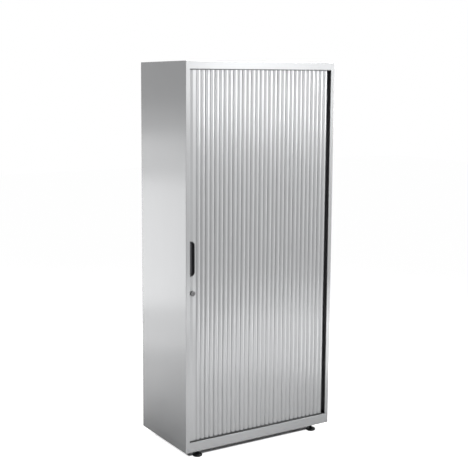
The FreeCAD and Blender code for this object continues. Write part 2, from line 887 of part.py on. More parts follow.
def door_buffers():
    """Rubber discs on the stile's return, which the bar meets."""
    y = crest + (bar_depth + left_return - curtain_setback) / 2 - buffer_radius * 2
    discs = [
        Part.makeCylinder(buffer_radius, buffer_height, FreeCAD.Vector(left + stile, y, z),
                          FreeCAD.Vector(1, 0, 0))
        for z in (low_buffer, middle_buffer, high_buffer)
    ]
    return Part.makeCompound(discs)


# ---- Feet ---------------------------------------------------------------------------------
def foot_pad(x, y):
    """Round pad with a bulged side and a blind hole for the stem."""
    swell = pad_radius - pad_sole
    curve = (swell ** 2 + pad_swell ** 2) / (2 * pad_swell)
    half_turn = math.asin(swell / curve) / 2
    belly = FreeCAD.Vector(
        pad_sole + curve * math.sin(half_turn), 0, curve * (1 - math.cos(half_turn))
    )
    edges = [
        Part.LineSegment(FreeCAD.Vector(0, 0, 0), FreeCAD.Vector(pad_sole, 0, 0)).toShape(),
        Part.Arc(
            FreeCAD.Vector(pad_sole, 0, 0), belly, FreeCAD.Vector(pad_radius, 0, pad_swell)
        ).toShape(),
        Part.LineSegment(
            FreeCAD.Vector(pad_radius, 0, pad_swell),
            FreeCAD.Vector(pad_radius, 0, pad_swell + pad_band),
        ).toShape(),
        Part.LineSegment(
            FreeCAD.Vector(pad_radius, 0, pad_swell + pad_band),
            FreeCAD.Vector(pad_top, 0, pad_height),
        ).toShape(),
        Part.LineSegment(
            FreeCAD.Vector(pad_top, 0, pad_height), FreeCAD.Vector(0, 0, pad_height)
        ).toShape(),
        Part.LineSegment(FreeCAD.Vector(0, 0, pad_height), FreeCAD.Vector(0, 0, 0)).toShape(),
    ]
    face = Part.Face(Part.Wire(edges))
    pad = face.revolve(FreeCAD.Vector(0, 0, 0), FreeCAD.Vector(0, 0, 1), 360)
    pad = pad.cut(upright_rod(0, 0, stem_seat, pad_height, stem_radius + stem_clearance))
    pad.translate(FreeCAD.Vector(x, y, 0))
    return pad


def foot_stem(x, y):
    """Screwed stem with a hexagon for the spanner."""
    rod = upright_rod(x, y, stem_seat + stem_play, stem_top, stem_radius)
    tip = [e for e in rod.Edges if abs(e.CenterOfMass.z - stem_top) < 0.01]
    rod = rod.makeChamfer(stem_radius / 5, tip)
    z0 = pad_height + stem_play
    return joined(rod, prism(x, y, z0, z0 + hex_height, hex_flats))


def foot_socket(x, y):
    """Threaded boss on a square plate under the base's floor."""
    under = floor_level - sheet
    half = boss_plate / 2
    plate = block(x - half, x + half, y - half + stem_radius, y + half - stem_radius,
                  under - boss_plate_sheet, under)
    boss = upright_rod(x, y, boss_bottom, under, boss_radius)
    return joined(plate, boss).cut(upright_rod(x, y, boss_bottom, under, stem_radius + stem_clearance))


# ---- Every node and its shape -------------------------------------------------------------
def nodes():
    """Name and shape of every piece."""
    yield "top_panel", top_panel()
    yield "left_side_panel", left_side_panel()
    yield "right_side_panel", side_panel(1, hem)
    yield "base_panel", base_panel()
    yield "back_panel", back_panel()
    yield "ceiling_panel", ceiling_panel()
    yield "side_liner", side_liner()
    yield "back_liner", back_liner()
    yield "pocket_trim", pocket_trim()
    yield "upper_front_track", front_track(True)
    yield "lower_front_track", front_track(False)
    yield "upper_pocket_track", pocket_track(True)
    yield "lower_pocket_track", pocket_track(False)
    yield "upright_front_left", upright(left + sheet, web_left, upright_front)
    yield "upright_rear_left", upright(left + sheet, web_left, upright_rear)
    yield "upright_front_right", upright(liner, web_right, upright_front)
    yield "upright_rear_right", upright(liner, web_right, upright_rear)
    for number, level in enumerate(shelf_slots(), 1):
        yield f"shelf_{number}", shelf(level)
    yield "shelf_clips", shelf_clips()
    first_slat = slat()
    for number in range(1, slat_count + 1):
        copy = first_slat.copy()
        copy.translate(FreeCAD.Vector((number - 1) * slat_pitch, 0, 0))
        yield f"slat_{number:02d}", copy
    yield "leading_bar", leading_bar()
    yield "bar_glides", bar_glides()
    yield "handle_cup", handle_cup()
    yield "lock_housing", lock_housing()
    yield "lock_nut", lock_nut()
    yield "lock_plug", lock_plug()
    yield "lock_cam", lock_cam()
    yield "lock_keeper", lock_keeper()
    yield "door_buffers", door_buffers()
    for number, (x, y) in enumerate(foot_places, 1):
        yield f"foot_pad_{number}", foot_pad(x, y)
        yield f"foot_stem_{number}", foot_stem(x, y)
    yield "foot_sockets", Part.makeCompound([foot_socket(x, y) for x, y in foot_places])


os.makedirs("parts", exist_ok=True)
for name, shape in nodes():
    solids = shape.Solids
    print(f"{name}: {len(solids)} solid(s), {sum(s.Volume for s in solids) / 1000:.1f} cm3, valid {shape.isValid()}")
    shape.exportStep(f"parts/{name}.step")
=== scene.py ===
import math

import bpy
from mathutils import Matrix, Vector


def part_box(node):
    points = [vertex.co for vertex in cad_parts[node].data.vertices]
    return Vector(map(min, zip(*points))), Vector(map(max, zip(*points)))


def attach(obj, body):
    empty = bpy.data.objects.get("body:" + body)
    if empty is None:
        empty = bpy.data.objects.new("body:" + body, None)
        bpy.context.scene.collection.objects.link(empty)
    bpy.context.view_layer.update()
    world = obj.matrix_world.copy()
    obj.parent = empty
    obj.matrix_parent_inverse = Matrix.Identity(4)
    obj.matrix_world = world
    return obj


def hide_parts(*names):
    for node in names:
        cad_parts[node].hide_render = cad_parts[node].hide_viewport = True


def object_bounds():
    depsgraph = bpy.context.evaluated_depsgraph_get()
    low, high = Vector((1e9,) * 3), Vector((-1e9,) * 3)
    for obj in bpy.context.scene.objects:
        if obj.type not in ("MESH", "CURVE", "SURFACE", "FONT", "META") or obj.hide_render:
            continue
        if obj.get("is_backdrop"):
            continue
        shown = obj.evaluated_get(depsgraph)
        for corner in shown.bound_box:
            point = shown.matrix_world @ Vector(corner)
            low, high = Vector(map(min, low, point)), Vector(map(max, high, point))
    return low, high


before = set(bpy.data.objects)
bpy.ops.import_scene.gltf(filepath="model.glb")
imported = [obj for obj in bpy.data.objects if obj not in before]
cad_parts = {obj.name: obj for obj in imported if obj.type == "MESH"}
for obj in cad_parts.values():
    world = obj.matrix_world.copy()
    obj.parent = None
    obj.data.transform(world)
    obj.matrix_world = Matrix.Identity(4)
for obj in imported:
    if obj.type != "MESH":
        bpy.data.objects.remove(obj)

bl_info = {
    "name": "Roll front tool cabinet",
    "version": (1, 0, 0),
    "blender": (4, 5, 0),
    "location": "View3D > Sidebar > Cabinet",
    "description": "Dresses the side-opening roll front cabinet: its finishes, fittings and studio",
    "category": "Object",
}

cad_low, cad_high = (tuple(corner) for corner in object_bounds())

SLATS = sorted(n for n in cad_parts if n.startswith("slat_"))
SHELVES = sorted(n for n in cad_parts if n.startswith("shelf_") and n != "shelf_clips")
UPRIGHTS = sorted(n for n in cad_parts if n.startswith("upright_"))
PADS = sorted(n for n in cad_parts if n.startswith("foot_pad_"))
STEMS = sorted(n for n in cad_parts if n.startswith("foot_stem_"))
TRACKS = sorted(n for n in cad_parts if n.endswith("_track"))
OUTER_PANELS = ["top_panel", "left_side_panel", "right_side_panel", "base_panel", "back_panel"]
INNER_PANELS = ["ceiling_panel", "side_liner", "back_liner"]


# The camera: its place in metres, its turn to the right and upwards from straight ahead in radians,
# the width of its frame in millimetres, and its shift in frame widths.
EYE = Vector((-2.7848, -4.2335, 1.9095))
YAW, PITCH = 0.52833, -0.12811
FRAME_WIDTH = 36.0
SHIFT = (0.1, -0.06)

# The sockets of a Mix node that blends two colours.
MIX_FACTOR, MIX_FIRST, MIX_SECOND, MIX_RESULT = 0, 6, 7, 2

# Lengths in metres below which two places count as one, and an edge as a point.
TOUCH, HAIR = 1e-5, 1e-4

# A face looks along an axis when its normal reaches this far along it.
FACING = 0.9


# ---- Colour and material helpers ----------------------------------------------------------
def linear(hex_colour):
    """A linear RGBA colour from an sRGB hex value."""
    parts = [int(hex_colour[i:i + 2], 16) / 255 for i in (1, 3, 5)]
    toned = [c / 12.92 if c <= 0.04045 else ((c + 0.055) / 1.055) ** 2.4 for c in parts]
    return (*toned, 1.0)


def node(material, kind, settings=None, links=None):
    """Adds a shader node to a material or a world, sets its properties and inputs, and links
    inputs to other outputs."""
    made = material.node_tree.nodes.new(kind)
    for key, value in (settings or {}).items():
        if isinstance(key, str) and hasattr(made, key):
            setattr(made, key, value)
        else:
            made.inputs[key].default_value = value
    for key, source in (links or {}).items():
        material.node_tree.links.new(source, made.inputs[key])
    return made


def new_material(name):
    """A node material with no nodes yet."""
    material = bpy.data.materials.new(name)
    material.use_nodes = True
    material.node_tree.nodes.clear()
    return material


def place_mm(material, x, y, z):
    """Object coordinates scaled so that one unit of pattern is x, y and z millimetres."""
    coords = node(material, "ShaderNodeTexCoord")
    return node(material, "ShaderNodeMapping",
                {"Scale": (1000 / x, 1000 / y, 1000 / z)},
                {"Vector": coords.outputs["Object"]}).outputs["Vector"]


def seen_rays(material):
    """Two values: 1 for what looks straight at the surface, and 1 for what looks at it straight,
    by reflection or through something clear."""
    path = node(material, "ShaderNodeLightPath")
    straight = seen = path.outputs["Is Camera Ray"]
    for ray in ("Is Glossy Ray", "Is Transmission Ray"):
        seen = node(material, "ShaderNodeMath", {"operation": "MAXIMUM"},
                    {0: seen, 1: path.outputs[ray]}).outputs[0]
    return straight, seen


# ---- Materials ----------------------------------------------------------------------------
def powder_coat(name, colour, shade, metallic, roughness):
    """Silver grey powder coat, sprayed dry and baked. The flake gives a broad, soft sheen, and the
    film flows out to a faint orange peel. Its cells are about 2 mm, drawn at 7 mm so they show, and
    the flake's grain of under 0.1 mm is drawn at 3 mm."""
    material = new_material(name)
    peel = node(material, "ShaderNodeTexNoise", {"Scale": 1.0, "Detail": 3.0, "Roughness": 0.55},
                {"Vector": place_mm(material, 7, 7, 7)})
    cloud = node(material, "ShaderNodeTexNoise", {"Scale": 1.0, "Detail": 2.0, "Roughness": 0.5},
                 {"Vector": place_mm(material, 260, 260, 420)})
    flake = node(material, "ShaderNodeTexNoise", {"Scale": 1.0, "Detail": 1.0},
                 {"Vector": place_mm(material, 3, 3, 3)})
    base = node(material, "ShaderNodeMix",
                {"data_type": "RGBA", MIX_FIRST: linear(colour), MIX_SECOND: linear(shade)},
                {MIX_FACTOR: cloud.outputs["Fac"]})
    rough = node(material, "ShaderNodeMapRange",
                 {"To Min": roughness - 0.01, "To Max": roughness + 0.01},
                 {"Value": flake.outputs["Fac"]})
    bump = node(material, "ShaderNodeBump", {"Strength": 0.008, "Distance": 0.0004},
                {"Height": peel.outputs["Fac"]})
    shader = node(material, "ShaderNodeBsdfPrincipled", {"Metallic": metallic},
                  {"Base Color": base.outputs[MIX_RESULT], "Roughness": rough.outputs["Result"],
                   "Normal": bump.outputs["Normal"]})
    node(material, "ShaderNodeOutputMaterial", links={"Surface": shader.outputs[0]})
    return material


def zinc_plate(name, colour, shade, roughness):
    """Bright zinc plate on steel, passivated. Faint bluish clouds about 30 mm across, and rolling
    lines along the sheet about 1 mm apart, drawn at 3 mm so they show."""
    material = new_material(name)
    cloud = node(material, "ShaderNodeTexNoise", {"Scale": 1.0, "Detail": 4.0, "Roughness": 0.6},
                 {"Vector": place_mm(material, 30, 30, 45)})
    lines = node(material, "ShaderNodeTexNoise", {"Scale": 1.0, "Detail": 2.0},
                 {"Vector": place_mm(material, 3, 3, 160)})
    base = node(material, "ShaderNodeMix",
                {"data_type": "RGBA", MIX_FIRST: linear(colour), MIX_SECOND: linear(shade)},
                {MIX_FACTOR: cloud.outputs["Fac"]})
    rough = node(material, "ShaderNodeMapRange",
                 {"To Min": roughness - 0.08, "To Max": roughness + 0.08},
                 {"Value": lines.outputs["Fac"]})
    bump = node(material, "ShaderNodeBump", {"Strength": 0.08, "Distance": 0.0003},
                {"Height": lines.outputs["Fac"]})
    shader = node(material, "ShaderNodeBsdfPrincipled", {"Metallic": 1.0},
                  {"Base Color": base.outputs[MIX_RESULT], "Roughness": rough.outputs["Result"],
                   "Normal": bump.outputs["Normal"]})
    node(material, "ShaderNodeOutputMaterial", links={"Surface": shader.outputs[0]})
    return material


def nickel_plate(name, colour, shade):
    """Satin nickel on die-cast zinc, with a fine blasted grain of about 0.3 mm, drawn at 1.5 mm so
    it shows."""
    material = new_material(name)
    grain = node(material, "ShaderNodeTexNoise", {"Scale": 1.0, "Detail": 3.0},
                 {"Vector": place_mm(material, 1.5, 1.5, 1.5)})
    base = node(material, "ShaderNodeMix",
                {"data_type": "RGBA", MIX_FIRST: linear(colour), MIX_SECOND: linear(shade)},
                {MIX_FACTOR: grain.outputs["Fac"]})
    rough = node(material, "ShaderNodeMapRange", {"To Min": 0.20, "To Max": 0.34},
                 {"Value": grain.outputs["Fac"]})
    shader = node(material, "ShaderNodeBsdfPrincipled", {"Metallic": 1.0},
                  {"Base Color": base.outputs[MIX_RESULT], "Roughness": rough.outputs["Result"]})
    node(material, "ShaderNodeOutputMaterial", links={"Surface": shader.outputs[0]})
    return material


def moulded_plastic(name, colour, shade, roughness, grain_mm):
    """Moulded plastic with a spark-eroded grain, a soft sheen and slightly greyer high spots. The
    grain is about 0.3 mm, drawn a few millimetres wide so it shows."""
    material = new_material(name)
    grain = node(material, "ShaderNodeTexNoise", {"Scale": 1.0, "Detail": 2.0, "Roughness": 0.6},
                 {"Vector": place_mm(material, grain_mm, grain_mm, grain_mm)})
    wide = node(material, "ShaderNodeTexNoise", {"Scale": 1.0, "Detail": 2.0},
                {"Vector": place_mm(material, 40, 40, 70)})
    base = node(material, "ShaderNodeMix",
                {"data_type": "RGBA", MIX_FIRST: linear(colour), MIX_SECOND: linear(shade)},
                {MIX_FACTOR: wide.outputs["Fac"]})
    rough = node(material, "ShaderNodeMapRange",
                 {"To Min": roughness - 0.06, "To Max": roughness + 0.06},
                 {"Value": grain.outputs["Fac"]})
    bump = node(material, "ShaderNodeBump", {"Strength": 0.18, "Distance": 0.0003},
                {"Height": grain.outputs["Fac"]})
    shader = node(material, "ShaderNodeBsdfPrincipled", {"IOR": 1.53},
                  {"Base Color": base.outputs[MIX_RESULT], "Roughness": rough.outputs["Result"],
                   "Normal": bump.outputs["Normal"]})
    node(material, "ShaderNodeOutputMaterial", links={"Surface": shader.outputs[0]})
    return material


def extruded_plastic(name, colour, shade):
    """Extruded PVC rail: die lines about 1 mm apart along the length, drawn at 2.5 mm, and a polish
    where the curtain runs."""
    material = new_material(name)
    lines = node(material, "ShaderNodeTexNoise", {"Scale": 1.0, "Detail": 3.0},
                 {"Vector": place_mm(material, 220, 2.5, 2.5)})
    base = node(material, "ShaderNodeMix",
                {"data_type": "RGBA", MIX_FIRST: linear(colour), MIX_SECOND: linear(shade)},
                {MIX_FACTOR: lines.outputs["Fac"]})
    rough = node(material, "ShaderNodeMapRange", {"To Min": 0.34, "To Max": 0.52},
                 {"Value": lines.outputs["Fac"]})
    bump = node(material, "ShaderNodeBump", {"Strength": 0.12, "Distance": 0.0002},
                {"Height": lines.outputs["Fac"]})
    shader = node(material, "ShaderNodeBsdfPrincipled", {"IOR": 1.54},
                  {"Base Color": base.outputs[MIX_RESULT], "Roughness": rough.outputs["Result"],
                   "Normal": bump.outputs["Normal"]})
    node(material, "ShaderNodeOutputMaterial", links={"Surface": shader.outputs[0]})
    return material


def rubber(name, colour, shade):
    """Nitrile rubber, pressed: matt, with a powdery bloom in patches of about 4 mm."""
    material = new_material(name)
    bloom = node(material, "ShaderNodeTexNoise", {"Scale": 1.0, "Detail": 3.0},
                 {"Vector": place_mm(material, 4, 4, 4)})
    base = node(material, "ShaderNodeMix",
                {"data_type": "RGBA", MIX_FIRST: linear(colour), MIX_SECOND: linear(shade)},
                {MIX_FACTOR: bloom.outputs["Fac"]})
    rough = node(material, "ShaderNodeMapRange", {"To Min": 0.72, "To Max": 0.9},
                 {"Value": bloom.outputs["Fac"]})
    shader = node(material, "ShaderNodeBsdfPrincipled", {"IOR": 1.52},
                  {"Base Color": base.outputs[MIX_RESULT], "Roughness": rough.outputs["Result"]})
    node(material, "ShaderNodeOutputMaterial", links={"Surface": shader.outputs[0]})
    return material


def studio_floor(name, colour, glow):
    """A pale matt floor. It is lifted to the white of the background for what looks at it directly
    or by reflection, and has a painted shadow: the lift fades out in a crisp band inside the
    cabinet's outline, and in reflections it is lowered near the cabinet, a painted shade on the
    cabinet's lower end."""
    material = new_material(name)
    matt = node(material, "ShaderNodeBsdfDiffuse", {"Color": linear(colour)})
    coords = node(material, "ShaderNodeTexCoord")
    parts = node(material, "ShaderNodeSeparateXYZ", links={"Vector": coords.outputs["Object"]})
    # How far a place is outside the cabinet's outline in metres, or less than 0 under it: the mask
    #     of the painted shadow. The outline is a little wider than the body at its sides.
    wider = 0.008
    outside = []
    for axis, half in (("X", wider - cad_low[0]), ("Y", -cad_low[1])):
        away = node(material, "ShaderNodeMath", {"operation": "ABSOLUTE"},
                    {0: parts.outputs[axis]})
        outside.append(node(material, "ShaderNodeMath", {"operation": "SUBTRACT", 1: half},
                            {0: away.outputs[0]}).outputs[0])
    reach = node(material, "ShaderNodeMath", {"operation": "MAXIMUM"},
                 {0: outside[0], 1: outside[1]}).outputs[0]
    # Looked at straight, the painted shadow starts 50 mm inside that outline and is full at 62 mm.
    straight = node(material, "ShaderNodeMapRange",
                    {"From Min": -0.062, "From Max": -0.050, "To Min": 0.0, "To Max": glow,
                     "interpolation_type": "SMOOTHSTEP"}, {"Value": reach})
    # In reflections, a painted shade: the floor is dull at the cabinet and white from 1 m away.
    reflected_painted_shade = node(material, "ShaderNodeMapRange",
                          {"From Min": 0.0, "From Max": 1.0, "To Min": 0.1, "To Max": glow},
                          {"Value": reach})
    straight_rays, all_rays = seen_rays(material)
    lift = node(material, "ShaderNodeMix", {"data_type": "FLOAT"},
                {0: straight_rays, 2: reflected_painted_shade.outputs[0], 3: straight.outputs[0]})
    light = node(material, "ShaderNodeEmission", {"Color": linear("#FFFFFF")},
                 {"Strength": lift.outputs[0]})
    both = node(material, "ShaderNodeAddShader", links={0: matt.outputs[0], 1: light.outputs[0]})
    mix = node(material, "ShaderNodeMixShader",
               links={0: all_rays, 1: matt.outputs[0], 2: both.outputs[0]})
    node(material, "ShaderNodeOutputMaterial", links={"Surface": mix.outputs[0]})
    return material


def studio_room(name, strength):
    """White all round: a faint even light on the cabinet, and full white for what looks at it
    directly, by reflection or through something clear."""
    world = bpy.data.worlds.new(name)
    world.use_nodes = True
    world.node_tree.nodes.clear()
    faint = node(world, "ShaderNodeBackground", {"Color": linear("#FFFFFF"), "Strength": strength})
    white = node(world, "ShaderNodeBackground", {"Color": linear("#FFFFFF"), "Strength": 1.0})
    mix = node(world, "ShaderNodeMixShader",
               links={0: seen_rays(world)[1], 1: faint.outputs[0], 2: white.outputs[0]})
    node(world, "ShaderNodeOutputWorld", links={"Surface": mix.outputs[0]})
    return world


# ---- Modelling helpers --------------------------------------------------------------------
def dress(names, material):
    """Puts one material on CAD nodes."""
    for name in names:
        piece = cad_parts[name]
        piece.data.materials.clear()
        piece.data.materials.append(material)


def deselect():
    """Leaves object mode with nothing selected."""
    if bpy.context.mode != "OBJECT":
        bpy.ops.object.mode_set(mode="OBJECT")
    bpy.ops.object.select_all(action="DESELECT")


def keep_only(piece):
    """Selects one object and makes it the active one."""
    deselect()
    piece.select_set(True)
    bpy.context.view_layer.objects.active = piece


def settle(piece, name, body, material, angle=35):
    """Puts a finished piece's place into its mesh, smooths it and hangs it on its body."""
    keep_only(piece)
    bpy.ops.object.transform_apply(location=True, rotation=True, scale=True)
    bpy.ops.object.shade_smooth_by_angle(angle=math.radians(angle))
    piece.name = name
    piece.data.name = name
    piece.data.materials.clear()
    piece.data.materials.append(material)
    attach(piece, body)
    return piece


def unselect(piece):
    """In object mode, unselects all of a piece's vertices, edges and faces."""
    for parts in (piece.data.vertices, piece.data.edges, piece.data.polygons):
        for part in parts:
            part.select = False


def pick(piece, rule):
    """In edit mode, selects only the faces whose centre and normal meet a rule."""
    bpy.ops.object.mode_set(mode="OBJECT")
    unselect(piece)
    for face in piece.data.polygons:
        face.select = bool(rule(face.center, face.normal))
    if not any(face.select for face in piece.data.polygons):
        raise RuntimeError(f"no face of {piece.name} meets the rule")
    bpy.ops.object.mode_set(mode="EDIT")
    bpy.ops.mesh.select_mode(type="FACE")


def bevelled(piece, width, segments=2, angle=40):
    """Rounds a piece's sharp edges and applies the modifier."""
    keep_only(piece)
    modifier = piece.modifiers.new("edge", "BEVEL")
    modifier.width = width
    modifier.segments = segments
    modifier.limit_method = "ANGLE"
    modifier.angle_limit = math.radians(angle)
    bpy.ops.object.modifier_apply(modifier=modifier.name)


def mirrored(eye, point, axis, share):
    """A place on the line of sight that a flat face at a point mirrors: axis is the one that the
    face looks along, and share is the distance from the point, by that from the eye to it."""
    line = Vector(point) - eye
    line[axis] = -line[axis]
    return Vector(point) + line * share


def around(azimuth, away, height):
    """A place round the middle of the front, at an angle from straight ahead of it to the right."""
    turn = math.radians(azimuth)
    return (away * math.sin(turn), cad_low[1] - away * math.cos(turn), height)


def pan_head_screw(radius):
    """A pan-head screw with a driving recess, its seat at the origin and its head up."""
    height, shoulder, dome = radius * 0.55, radius * 0.3, radius * 0.12
    land, recess, edge = radius * 0.32, radius * 0.35, radius * 0.06
    deselect()
    bpy.ops.mesh.primitive_cylinder_add(vertices=20, radius=radius, depth=height,
                                        location=(0, 0, height / 2))
    screw = bpy.context.active_object
    bpy.ops.object.transform_apply(location=True)
    bpy.ops.object.mode_set(mode="EDIT")
    pick(screw, lambda c, n: n.z > FACING)
    bpy.ops.mesh.inset(thickness=shoulder)
    bpy.ops.transform.translate(value=(0, 0, dome))
    bpy.ops.mesh.inset(thickness=land)
    bpy.ops.mesh.extrude_region_move(TRANSFORM_OT_translate={"value": (0, 0, -recess)})
    bpy.ops.object.mode_set(mode="OBJECT")
    bevelled(screw, edge, segments=1, angle=50)
    return screw


def set_out(pattern, seats, name, body, material):
    """Puts a copy of a piece, each with its own mesh, on every seat, and the piece itself on the
    last one. A seat is a point and the outward normal there."""
    for number, (at, outward) in enumerate(seats, 1):
        piece = pattern
        if number < len(seats):
            keep_only(pattern)
            bpy.ops.object.duplicate(linked=False)
            piece = bpy.context.active_object
        turn = Vector((0, 0, 1)).rotation_difference(Vector(outward)).to_matrix().to_4x4()
        piece.matrix_world = Matrix.Translation(Vector(at)) @ turn
        settle(piece, f"{name}_{number:02d}", body, material)


# ---- Sizes and colours a user would change ------------------------------------------------
class CabinetFinishes(bpy.types.PropertyGroup):
    """Colours and sheen of the cabinet."""
    casing_colour: bpy.props.StringProperty(
        name="Casing colour", description="sRGB hex of the casing's powder coat", default="#A6A7A8")
    casing_shade: bpy.props.StringProperty(
        name="Casing shade", description="sRGB hex of the coat's darker clouds", default="#A1A2A3")
    curtain_colour: bpy.props.StringProperty(
        name="Curtain colour", description="sRGB hex of the curtain's powder coat",
        default="#A6A7A8")
    curtain_shade: bpy.props.StringProperty(
        name="Curtain shade", description="sRGB hex of its darker clouds", default="#A1A2A3")
    flake: bpy.props.FloatProperty(
        name="Flake", description="How metallic the powder coat looks", default=0.50,
        min=0.0, max=1.0, subtype="FACTOR")
    sheen: bpy.props.FloatProperty(
        name="Roughness", description="Roughness of the powder coat", default=0.24,
        min=0.05, max=1.0, subtype="FACTOR")
    fitting_colour: bpy.props.StringProperty(
        name="Fitting colour", description="sRGB hex of the finger pull's black plastic",
        default="#242527")


class CabinetFittings(bpy.types.PropertyGroup):
    """Sizes of the fittings modelled here."""
    screw_radius: bpy.props.FloatProperty(
        name="Screw head", description="Radius of the casing's screw heads", default=0.0040,
        unit="LENGTH")
    back_screws: bpy.props.IntProperty(
        name="Back screws", description="Screws up each side of the back panel", default=8, min=2)
    # The black strip on the lower track's lip is painted shade for the gap above the bottom rail.
    shade_strip_height: bpy.props.FloatProperty(
        name="Shade gap strip", description="Height of the cover strip on the lower track's lip",
        default=0.0072, unit="LENGTH")
    pull_rim: bpy.props.FloatProperty(
        name="Pull rim", description="Width of the finger pull's rim", default=0.0025,
        unit="LENGTH")
    pull_corner: bpy.props.FloatProperty(
        name="Pull corner", description="Rounding of the pull's inner corners", default=0.023,
        unit="LENGTH")
    pull_shallow: bpy.props.FloatProperty(
        name="Pull shallow side", description="Depth of the recess at the leading edge",
        default=0.005, unit="LENGTH")
    pull_deep: bpy.props.FloatProperty(
        name="Pull deep side", description="Depth of the recess at its other side",
        default=0.0125, unit="LENGTH")


class CabinetStudio(bpy.types.PropertyGroup):
    """The room round the cabinet."""
    floor_size: bpy.props.FloatProperty(
        name="Floor", description="Side of the floor", default=30.0, unit="LENGTH")
    floor_glow: bpy.props.FloatProperty(
        name="Floor glow", description="What lifts the floor to the background's white",
        default=0.95)
    room_light: bpy.props.FloatProperty(
        name="Room light", description="Strength of the even light from all round", default=0.05)
    front_lamp: bpy.props.FloatProperty(
        name="Front lamp", description="Power of the box that the front's upper end mirrors; "
                                       "the one at the rail takes 0.6 of it",
        default=0.45, unit="POWER")
    low_lamp: bpy.props.FloatProperty(
        name="Low lamp", description="Power of the strip that the front's lower end mirrors; the "
                                     "low lamps at both sides take 1.1 and 1.4 of it",
        default=0.35, unit="POWER")
    side_lamp: bpy.props.FloatProperty(
        name="Side lamp", description="Power of the tall box that the left side mirrors; those "
                                      "at its middle and top take 0.6 and 0.09 of it",
        default=0.77, unit="POWER")
    right_lamp: bpy.props.FloatProperty(
        name="Right lamp", description="Power of the high lamp at the right; those at the left "
                                       "and lower down take 0.6 and 0.13 of it",
        default=3.2, unit="POWER")
    fill_lamp: bpy.props.FloatProperty(
        name="Fill lamps", description="Power of the lamp over the front; the one over the right "
                                       "takes 1.75 of it",
        default=22.5, unit="POWER")
    top_lamp: bpy.props.FloatProperty(
        name="Top lamp", description="Power of the lamp over the top", default=35.0, unit="POWER")
    lens: bpy.props.FloatProperty(
        name="Lens", description="Focal length on a 36 mm wide frame", default=72.96,
        unit="CAMERA", subtype="DISTANCE_CAMERA")


# ---- Operators ----------------------------------------------------------------------------
class CABINET_OT_stage(bpy.types.Operator):
    """Lay the floor, light the room and set the camera"""
    bl_idname = "cabinet.stage"
    bl_label = "Stage"

    def execute(self, context):
        studio = context.scene.cabinet_studio
        deselect()
        bpy.ops.mesh.primitive_plane_add(size=studio.floor_size, location=(0, 0, 0))
        floor = context.active_object
        floor.name = "studio_floor"
        # The floor's lift leaves a painted shadow under the cabinet and a painted shade in
        # reflections.
        floor.data.materials.append(
            studio_floor("studio_floor_white_painted_shadow", "#EDEDED", studio.floor_glow))
        floor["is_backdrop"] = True
        context.scene.world = studio_room("room", studio.room_light)
        for row in self.lamp_rows(studio):
            self.lamp(*row)
        self.camera(context.scene, studio.lens)
        context.scene.view_settings.view_transform = "Standard"
        return {"FINISHED"}

    def lamp_rows(self, studio):
        """Name, place, point looked at, width, height, spread in degrees and power of each lamp.
        The front and the side mirror the first six towards the camera."""
        side, front = cad_low[0], cad_low[1]
        brow, rail, knee = (-0.05, front, 1.89), (-0.3, front, 1.95), (0, front, 0.75)
        flank, crown = (side, 0, 1.1), (side, 0, 1.65)
        upper, middle, lower = (0, front, 1.85), (0, front, 1.1), (0, front, 0.56)
        head, head_right, top = (0, front, 1.9), (0.1, front, 1.8), (0, 0, 1.9)
        return (
            ("front_high", mirrored(EYE, brow, 1, 1.0), brow, 0.9, 0.6, 60, studio.front_lamp),
            ("front_rail", mirrored(EYE, rail, 1, 1.0), rail, 0.7, 0.4, 60,
             studio.front_lamp * 0.6),
            ("front_low", mirrored(EYE, knee, 1, 0.2), knee, 1.25, 0.3, 100, studio.low_lamp),
            ("side_tall", mirrored(EYE, flank, 0, 0.35), flank, 1.0, 1.5, 80, studio.side_lamp),
            ("side_middle", mirrored(EYE, flank, 0, 0.34), flank, 1.0, 0.9, 80,
             studio.side_lamp * 0.6),
            ("side_crown", mirrored(EYE, crown, 0, 0.35), crown, 1.0, 0.4, 80,
             studio.side_lamp * 0.09),
            ("left_high", around(-25, 4.9, 1.79), upper, 1.3, 0.6, 50, studio.right_lamp * 0.6),
            ("right_high", around(60, 4.4, 1.79), upper, 1.3, 0.6, 50, studio.right_lamp),
            ("right_middle", around(75, 3.5, 0.55), middle, 1.5, 1.0, 60,
             studio.right_lamp * 0.13),
            ("left_low", around(-20, 1.1, 0.26), lower, 0.7, 0.36, 100, studio.low_lamp * 1.1),
            ("right_low", around(65, 1.2, 0.23), lower, 0.7, 0.36, 100, studio.low_lamp * 1.4),
            ("over_front", (2.6, -3.2, 3.4), head, 2.0, 1.0, 50, studio.fill_lamp),
            ("over_right", (4.2, -1.2, 4.0), head_right, 2.6, 2.0, 60, studio.fill_lamp * 1.75),
            ("top", (0, 0, 4.2), top, 2.5, 2.5, 90, studio.top_lamp),
        )

    def lamp(self, name, at, towards, width, height, spread, power):
        """A soft box that looks at a point and throws its light within an angle in degrees."""
        data = bpy.data.lights.new(name, "AREA")
        data.shape = "RECTANGLE"
        data.size = width
        data.size_y = height
        data.spread = math.radians(spread)
        data.energy = power
        lamp = bpy.data.objects.new(name, data)
        bpy.context.scene.collection.objects.link(lamp)
        lamp.visible_camera = False
        lamp.location = at
        aim = Vector(towards) - Vector(at)
        lamp.rotation_euler = aim.to_track_quat("-Z", "Y").to_euler()

    def camera(self, scene, lens):
        """A camera that stands at the eye's place."""
        camera = bpy.data.objects.new("camera", bpy.data.cameras.new("camera"))
        scene.collection.objects.link(camera)
        camera.location = EYE
        camera.rotation_euler = (math.pi / 2 + PITCH, 0, -YAW)
        camera.data.sensor_width = FRAME_WIDTH
        camera.data.lens = lens
        camera.data.shift_x, camera.data.shift_y = SHIFT
        scene.camera = camera


